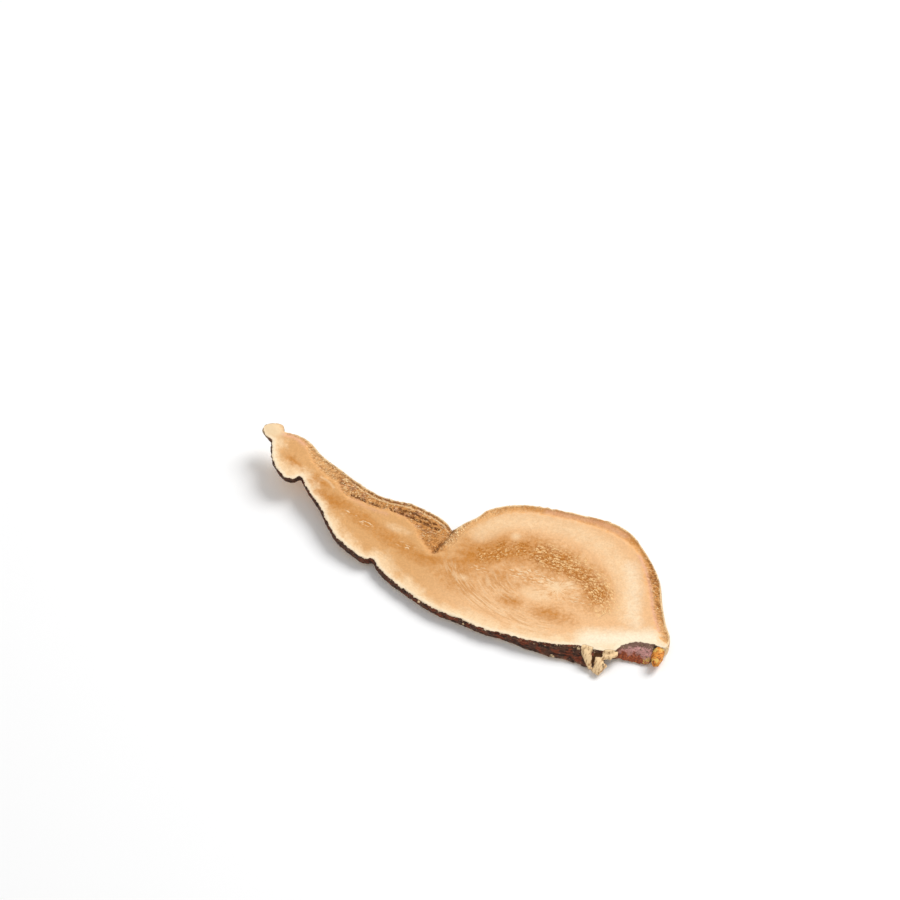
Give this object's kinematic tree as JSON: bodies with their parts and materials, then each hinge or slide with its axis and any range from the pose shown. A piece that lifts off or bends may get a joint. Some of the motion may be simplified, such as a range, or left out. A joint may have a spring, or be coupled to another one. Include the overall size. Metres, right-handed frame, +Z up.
{
  "type": "dried reishi slice",
  "caption": "Dried slice cut across a reishi cap: broad lobe and narrow arm of tan flesh, dark crust along one edge and a brown tube layer along the other.",
  "frame": {"origin": "on the surface that the slice lies on, under the middle of its bounding box", "axes": "+X along the slice from its narrow tip to its broad end, +Y towards the tube layer, away from the crust, +Z up through the slice's thickness"},
  "size_m": [0.0948, 0.036, 0.008],
  "materials": {
    "dried_flesh": "matt, fibrous cut flesh of a dried bracket fungus, with a dark red-brown crust"
  },
  "bodies": {
    "root": {"reishi_slice": "dried_flesh"}
  },
  "joints": []
}
